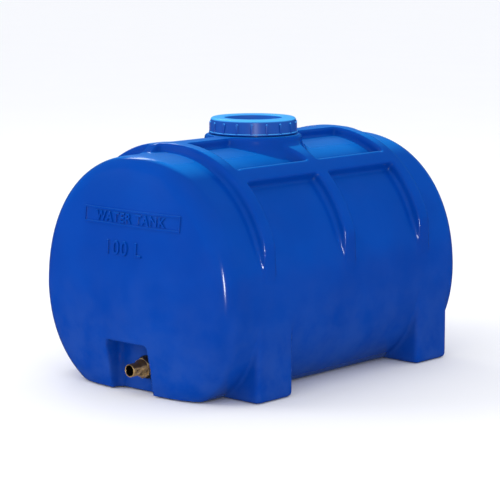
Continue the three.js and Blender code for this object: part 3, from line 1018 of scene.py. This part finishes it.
@dataclass
class EmbossedMarks:
    """Raised frame with plain wording, and the capacity below it, on the front end's dome."""

    tank: TankShell
    wording: str = "WATER TANK"
    capacity: str = "100 L"
    frame_x: Pair = (-101 * MM, 127 * MM)
    frame_z: Pair = (296 * MM, 324 * MM)
    frame_strip: float = 3 * MM
    raised: float = 1.9 * MM
    sunk: float = 1.2 * MM
    edge: float = 0.5 * MM
    capital_share: float = 0.69
    capacity_z: float = 246 * MM
    letter_heights: Pair = (16 * MM, 24 * MM)

    def lay_on_dome(self, piece: Piece) -> None:
        """Carries a piece that stands on the plane y = 0 onto the front end's dome.

        Args:
            piece: The piece, raised towards -Y.
        """
        section = self.tank.section
        places = vertices_of(piece)
        radius = section.share_at(places[:, 0], places[:, 2]) * section.half_width
        dome = self.tank.dome_radius
        places[:, 1] -= self.tank.half_length - dome + np.sqrt(dome**2 - radius**2)
        move_vertices(piece, places)

    def frame(self) -> Piece:
        """Makes the frame: a plate whose inset middle is taken out, drawn forward.

        Returns:
            The frame, on the plane y = 0.
        """
        (x0, x1), (z0, z1) = self.frame_x, self.frame_z
        bpy.ops.mesh.primitive_plane_add(
            size=1.0, location=((x0 + x1) / 2, self.sunk, (z0 + z1) / 2), rotation=(math.pi / 2, 0.0, 0.0)
        )
        piece = bpy.context.object
        piece.scale = (x1 - x0, z1 - z0, 1.0)
        piece = settle(piece, "mark_frame")
        with editing(piece):
            bpy.ops.mesh.inset(thickness=self.frame_strip)
            bpy.ops.mesh.delete(type="FACE")
            bpy.ops.mesh.select_all(action="SELECT")
            bpy.ops.mesh.subdivide(number_cuts=19)
            forward = (0.0, -self.raised - self.sunk, 0.0)
            bpy.ops.mesh.extrude_region_move(TRANSFORM_OT_translate={"value": forward})
            bpy.ops.mesh.select_all(action="SELECT")
            bpy.ops.mesh.normals_make_consistent(inside=False)
        return piece

    def words(self, text: str, x: float, z: float, height: float) -> Piece:
        """Sets a line of raised capitals.

        Args:
            text: The wording.
            x: Its middle across the dome.
            z: Its baseline.
            height: Height of a capital.

        Returns:
            The letters as a mesh.
        """
        bpy.ops.object.text_add(location=(x, 0.0, z), rotation=(math.pi / 2, 0.0, 0.0))
        letters = bpy.context.object
        font = letters.data
        font.body, font.align_x, font.space_character = text, "CENTER", 1.15
        font.size = height / self.capital_share
        font.extrude = (self.raised + self.sunk) / 2
        font.bevel_depth, font.bevel_resolution, font.resolution_u = self.edge, 1, 6
        activate(letters)
        bpy.ops.object.convert(target="MESH")
        piece = settle(bpy.context.object, "mark_words")
        with editing(piece):
            bpy.ops.mesh.remove_doubles(threshold=0.02 * MM)
            bpy.ops.transform.translate(value=(0.0, (self.sunk - self.raised) / 2, 0.0))
        return piece

    def build(self) -> Piece:
        """Models the marks.

        Returns:
            Frame and wording in one piece, on the dome.
        """
        middle = sum(self.frame_x) / 2
        pieces = [
            self.frame(),
            self.words(self.wording, middle, self.frame_z[0] + 6 * MM, self.letter_heights[0]),
            self.words(self.capacity, 0.0, self.capacity_z, self.letter_heights[1]),
        ]
        marks = joined("embossed_marks", pieces)
        self.lay_on_dome(marks)
        return marks

    def place(self, material: Material) -> Piece:
        """Builds, dresses and mounts the marks, in the shell's finish since they are one moulding."""
        return mount(self.build(), material, "tank")


# ---- Lid ----


@dataclass
class ScrewLid:
    """Injection-moulded screw lid with a recessed middle, grip ribs and an inside thread."""

    skirt_height: float = 28.3 * MM
    top_radius: float = 78 * MM
    skirt_radius: float = 79.6 * MM
    lip_radius: float = 81 * MM
    lip_height: float = 3.2 * MM
    bore: float = 74.6 * MM
    plate: float = 3 * MM
    recess_radius: float = 53 * MM
    recess_depth: float = 13 * MM
    edge: float = 5 * MM
    grip_ribs: int = 18
    rib_half_width: float = 2.3 * MM
    rib_proud: float = 1.0 * MM
    rib_stops: float = 7 * MM
    thread_z: float = 437 * MM
    thread_crest: float = 72 * MM
    vents: int = 6
    vent_ring: float = 6.5 * MM
    vent_hole: float = 1.6 * MM
    stem_hole: float = 2.7 * MM

    def __post_init__(self) -> None:
        """Reads the lid's place from the frame."""
        low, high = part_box("screw_lid")
        self.top = high[2]
        self.centre = ((low[0] + high[0]) / 2, (low[1] + high[1]) / 2, 0.0)

    def body(self) -> Piece:
        """Turns the lid's body in one outline, from under its floor round the skirt to the recess.

        Returns:
            The body.
        """
        top, plate, edge = self.top, self.plate, self.edge
        bottom = top - self.skirt_height
        floor = top - self.recess_depth
        well = self.recess_radius + plate
        soft, break_edge = 3 * MM, 0.8 * MM
        lip, lip_top = self.lip_radius, bottom + self.lip_height
        outline = [(0.0, floor - plate), (well, floor - plate), (well, top - plate), (self.bore, top - plate)]
        outline += [(self.bore, bottom), (lip - break_edge, bottom), (lip, bottom + break_edge)]
        outline += [(lip, lip_top - break_edge), (lip - break_edge, lip_top), (self.skirt_radius, lip_top)]
        outline += arc((self.top_radius - edge, top - edge), edge, 0.0, 90.0, 8)
        outline += arc((self.recess_radius + soft, top - soft), soft, 90.0, 180.0, 6)
        outline += arc((self.recess_radius - 3.4 * MM, floor + 2 * MM), 2 * MM, 0.0, -90.0, 4)
        outline += [(0.0, floor)]
        return turned("lid_body", outline, centre=self.centre, steps=144)

    def grips(self) -> Piece:
        """Models one grip rib with a pointed top and sets copies of it round the skirt.

        Returns:
            All ribs in one piece.
        """
        bottom = self.top - self.skirt_height + self.lip_height / 2
        peak = self.top - self.rib_stops
        reach = self.skirt_radius + self.rib_proud
        low = (self.bore + 2 * MM, -self.rib_half_width, bottom)
        rib = block("grip_rib", low, (reach, self.rib_half_width, peak))
        with editing(rib):
            bpy.ops.mesh.select_mode(type="EDGE")
            bpy.ops.mesh.select_all(action="DESELECT")
            bpy.ops.object.mode_set(mode="OBJECT")
            for edge in rib.data.edges:
                one, other = (rib.data.vertices[i].co for i in edge.vertices)
                edge.select = min(one.z, other.z) > peak - MM / 10 and abs(one.y - other.y) < MM / 10
            bpy.ops.object.mode_set(mode="EDIT")
            bpy.ops.mesh.bevel(offset=1.9 * MM, segments=1, affect="EDGES")
        with editing(rib):
            bpy.ops.mesh.bevel(offset=0.4 * MM, segments=2, affect="EDGES")
        copies = []
        for i in range(self.grip_ribs):
            copy = rib.copy()
            copy.data = rib.data.copy()
            bpy.context.collection.objects.link(copy)
            copy.rotation_euler = (0.0, 0.0, math.tau * (i + 0.5) / self.grip_ribs)
            copy.location = self.centre
            copies.append(settle(copy, "grip_rib"))
        bpy.data.objects.remove(rib)
        return joined("grip_ribs", copies)

    def drills(self) -> Piece:
        """Makes the cutter for the air holes and the valve stem's hole in the recess.

        Returns:
            All drills in one piece.
        """
        floor = Vector(self.centre) + Vector((0.0, 0.0, self.top - self.recess_depth))
        angles = [math.tau * i / self.vents for i in range(self.vents)]
        holes = [(self.vent_hole, self.vent_ring * Vector((math.cos(a), math.sin(a), 0.0))) for a in angles]
        drills = []
        for radius, aside in holes + [(self.stem_hole, Vector((0.0, 0.0, 0.0)))]:
            bpy.ops.mesh.primitive_cylinder_add(
                vertices=24, radius=radius, depth=20 * MM, location=floor + aside
            )
            drills.append(settle(bpy.context.object, "drill"))
        return joined("drills", drills)

    def build(self) -> Piece:
        """Models the lid.

        Returns:
            The finished lid.
        """
        lid = self.body()
        combine(lid, self.grips(), Cut.JOIN)
        thread = Thread(self.bore, self.thread_crest, self.thread_z)
        combine(lid, thread.ridge("lid_thread", self.centre), Cut.JOIN)
        combine(lid, self.drills(), Cut.AWAY)
        lid.name = "moulded_screw_lid"
        return lid

    def place(self, material: Material) -> Piece:
        """Builds, dresses and mounts the lid."""
        return mount(self.build(), material, "lid", "screw_lid")


# ---- Outlet ----


@dataclass
class Outlet:
    """Brass outlet: spigot, cone, chamfered hexagon and tail in one turned bar, on a rubber washer."""

    bore: float = 9 * MM
    spigot: float = 11.5 * MM
    cone: float = 13 * MM
    cone_end: float = 16 * MM
    hex_corner: float = 19 * MM
    hex_thickness: float = 10 * MM
    tail: float = 13 * MM
    washer_rounding: float = 0.8 * MM

    def __post_init__(self) -> None:
        """Reads the places from the frame."""
        low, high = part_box("outlet_fitting")
        washer_low, washer_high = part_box("outlet_washer_outer")
        self.front, self.back = low[1], high[1]
        self.centre = ((washer_low[0] + washer_high[0]) / 2, 0.0, (washer_low[2] + washer_high[2]) / 2)
        self.washer_y = (washer_low[1], washer_high[1])
        self.washer_radius = (washer_high[0] - washer_low[0]) / 2
        self.hex_back = washer_low[1] - 0.3 * MM

    def hexagon(self) -> Piece:
        """Makes the hexagon, with its corners turned off at the front.

        Returns:
            The hexagon.
        """
        front = self.hex_back - self.hex_thickness
        bpy.ops.mesh.primitive_cylinder_add(
            vertices=6,
            radius=self.hex_corner,
            depth=self.hex_thickness,
            location=(self.centre[0], (front + self.hex_back) / 2, self.centre[2]),
            rotation=(math.pi / 2, 0.0, 0.0),
        )
        piece = settle(bpy.context.object, "hexagon")
        with editing(piece):
            bpy.ops.mesh.bevel(offset=0.4 * MM, segments=2, affect="EDGES")
        corner = self.hex_corner
        limit = turned(
            "hexagon_chamfer",
            [(0.0, front - MM), (corner - 2.6 * MM, front - MM), (corner - 1.6 * MM, front),
             (corner + MM, front + 2.2 * MM), (corner + MM, self.hex_back + MM), (0.0, self.hex_back + MM)],
            Axis.LENGTHWISE, centre=self.centre, steps=72,
        )
        combine(piece, limit, Cut.COMMON)
        return piece

    def fitting(self) -> Piece:
        """Turns the bar, joins the hexagon to it and bores it through.

        Returns:
            The fitting.
        """
        hex_front = self.hex_back - self.hex_thickness
        soft = 1.1 * MM
        outline = [(0.0, self.front), (self.spigot - soft, self.front)]
        outline += arc((self.spigot - soft, self.front + soft), soft, -90.0, 0.0, 4)[1:]
        start = hex_front - self.cone
        for i in range(9):
            t = i / 8
            blend = t * t * (3 - 2 * t)
            outline.append((self.spigot + (self.cone_end - self.spigot) * blend, start + self.cone * t))
        outline += [(self.cone_end, hex_front + MM), (self.tail, hex_front + MM), (self.tail, self.back)]
        outline += [(0.0, self.back)]
        piece = turned("outlet_brass", outline, Axis.LENGTHWISE, centre=self.centre, steps=72)
        combine(piece, self.hexagon(), Cut.JOIN)
        y0, y1, flare = self.front - MM, self.back + MM, 1.6 * MM
        drill = turned(
            "outlet_bore",
            [(0.0, y0), (self.bore + flare, y0), (self.bore, self.front + flare), (self.bore, y1), (0.0, y1)],
            Axis.LENGTHWISE, centre=self.centre, steps=72,
        )
        combine(piece, drill, Cut.AWAY)
        return piece

    def washer(self) -> Piece:
        """Turns the outer washer with soft edges.

        Returns:
            The washer.
        """
        y0, y1 = self.washer_y
        inner, outer, soft = self.tail + 0.3 * MM, self.washer_radius, self.washer_rounding
        outline = [(inner, y0), (outer - soft, y0)]
        outline += arc((outer - soft, y0 + soft), soft, -90.0, 0.0, 4)[1:]
        outline += arc((outer - soft, y1 - soft), soft, 0.0, 90.0, 4)
        outline += [(inner, y1), (inner, y0)]
        return turned("outlet_washer", outline, Axis.LENGTHWISE, centre=self.centre, steps=72)

    def place(self, brass: Material, rubber: Material) -> list[Piece]:
        """Builds, dresses and mounts the fitting and its washer."""
        bar = mount(self.fitting(), brass, "tank", "outlet_fitting", sharp=30.0)
        return [bar, mount(self.washer(), rubber, "tank", "outlet_washer_outer", sharp=30.0)]


@dataclass
class InnerHardware:
    """The CAD nodes that keep their shape: seals, the air valve and the nut inside the tank."""

    rubber_nodes: tuple[str, ...] = ("lid_gasket", "air_valve", "outlet_washer_inner")
    brass_nodes: tuple[str, ...] = ("outlet_backnut",)

    def place(self, rubber: Material, brass: Material) -> list[Piece]:
        """Gives each node its finish.

        Args:
            rubber: Finish of the seals and the valve.
            brass: Finish of the nut.

        Returns:
            The nodes.
        """
        dressed = []
        for names, material in ((self.rubber_nodes, rubber), (self.brass_nodes, brass)):
            for name in names:
                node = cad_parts[name]
                for slot in node.material_slots:
                    slot.material = material
                dressed.append(node)
        return dressed


# ---- Studio ----


@dataclass
class Studio:
    """Pale floor, white surroundings, soft lights and the camera."""

    floor_size: float = 120.0
    sky_strength: float = 1.05
    sky: str = "2f7fd0"
    ground: str = "36404e"
    white: str = "fbfcff"
    horizon: Pair = (-0.05, 0.15)
    camera_at: Place = (2.4464, -2.7326, 0.7956)
    camera_yaw: float = 0.7330
    camera_pitch: float = 0.1570
    lens: float = 144.88
    sensor: float = 36.0
    aim: Place = (0.0, 0.0, 0.23)

    def floor(self) -> None:
        """Lays the floor under the feet."""
        bpy.ops.mesh.primitive_plane_add(size=self.floor_size, location=(0.0, 0.0, 0.0))
        floor = settle(bpy.context.object, "studio_floor")
        dress(floor, PaintedFloor().material())
        floor.visible_glossy = False

    def surroundings(self) -> None:
        """Fills the surroundings with even white light, in which gloss mirrors a blue sky over dim ground."""
        world = bpy.data.worlds.new("white_surroundings")
        world.use_nodes = True
        tree = world.node_tree
        white, (low, high) = tree.nodes["Background"], self.horizon
        feed(tree, white, Color=linear(self.white), Strength=self.sky_strength)
        towards = add_node(tree, "ShaderNodeTexCoord", output="Generated")
        height = add_node(tree, "ShaderNodeSeparateXYZ", output="Z", Vector=towards)
        risen = add_node(tree, "ShaderNodeMapRange", EASED, Value=height, From_Min=low, From_Max=high)
        colours = linear(self.ground), linear(self.sky)
        mirrored = add_node(tree, "ShaderNodeMix", COLOURS, Factor=risen, A=colours[0], B=colours[1])
        dim = add_node(tree, "ShaderNodeBackground", Color=mirrored)
        glossy = add_node(tree, "ShaderNodeLightPath", output="Is Glossy Ray")
        plain = white.outputs["Background"]
        both = add_node(tree, "ShaderNodeMixShader", Fac=glossy, Shader=plain, Shader_001=dim)
        feed(tree, tree.nodes["World Output"], Surface=both)
        bpy.context.scene.world = world

    def lamp(
        self,
        name: str,
        azimuth: float,
        elevation: float,
        distance: float,
        size: Pair,
        power: float,
        mirrored: bool = True,
    ) -> None:
        """Hangs a rectangular soft light that faces the tank's middle.

        Args:
            name: Name of the light.
            azimuth: Degrees from -Y towards +X, seen from the tank.
            elevation: Degrees above the horizon.
            distance: Distance from the tank's middle.
            size: Its width and height.
            power: Its power in watts.
            mirrored: Whether gloss shows it.
        """
        data = bpy.data.lights.new(name, "AREA")
        data.shape, data.energy = "RECTANGLE", power
        data.size, data.size_y = size
        lamp = bpy.data.objects.new(name, data)
        lamp.visible_glossy = mirrored
        bpy.context.collection.objects.link(lamp)
        turn, rise = math.radians(azimuth), math.radians(elevation)
        towards = Vector((math.sin(turn) * math.cos(rise), -math.cos(turn) * math.cos(rise), math.sin(rise)))
        lamp.location = Vector(self.aim) + towards * distance
        lamp.rotation_euler = towards.to_track_quat("Z", "Y").to_euler()

    def camera(self) -> None:
        """Sets up the camera in front of the tank's right corner."""
        data = bpy.data.cameras.new("studio_camera")
        data.lens, data.sensor_width = self.lens, self.sensor
        camera = bpy.data.objects.new("studio_camera", data)
        bpy.context.collection.objects.link(camera)
        camera.location = self.camera_at
        camera.rotation_euler = (math.pi / 2 - self.camera_pitch, 0.0, self.camera_yaw)
        bpy.context.scene.camera = camera

    def place(self) -> None:
        """Sets up the whole studio."""
        self.floor()
        self.surroundings()
        self.lamp("sky_from_above", 10.0, 75.0, 4.0, (3.0, 3.0), 12.0, mirrored=False)
        self.lamp("front_fill", -45.0, 18.0, 4.0, (2.0, 1.6), 52.0, mirrored=False)
        self.lamp("rim_light", -115.0, 42.0, 4.0, (0.9, 0.6), 9.0)
        self.lamp("narrow_window", 48.0, 2.5, 4.5, (0.22, 0.8), 30.0)
        self.camera()
        bpy.context.scene.view_settings.view_transform = "Standard"


def report(pieces: Sequence[Piece]) -> None:
    """Logs the size of each piece.

    Args:
        pieces: The pieces.
    """
    for piece in pieces:
        piece.data.calc_loop_triangles()
        LOG.info("%s: %d triangles", piece.name, len(piece.data.loop_triangles))


def main() -> None:
    """Builds the tank and its studio."""
    logging.basicConfig(level=logging.INFO, format="%(name)s: %(message)s")
    shell_finish = SHELL_PLASTIC.material()
    brass, rubber = BRASS.material(), RUBBER.material()
    tank = TankShell()
    pieces = [tank.place(shell_finish)]
    pieces.append(EmbossedMarks(tank).place(shell_finish))
    pieces.append(ScrewLid().place(LID_PLASTIC.material()))
    pieces += Outlet().place(brass, rubber)
    pieces += InnerHardware().place(rubber, brass)
    Studio().place()
    report(pieces)


if __name__ == "__main__":
    main()
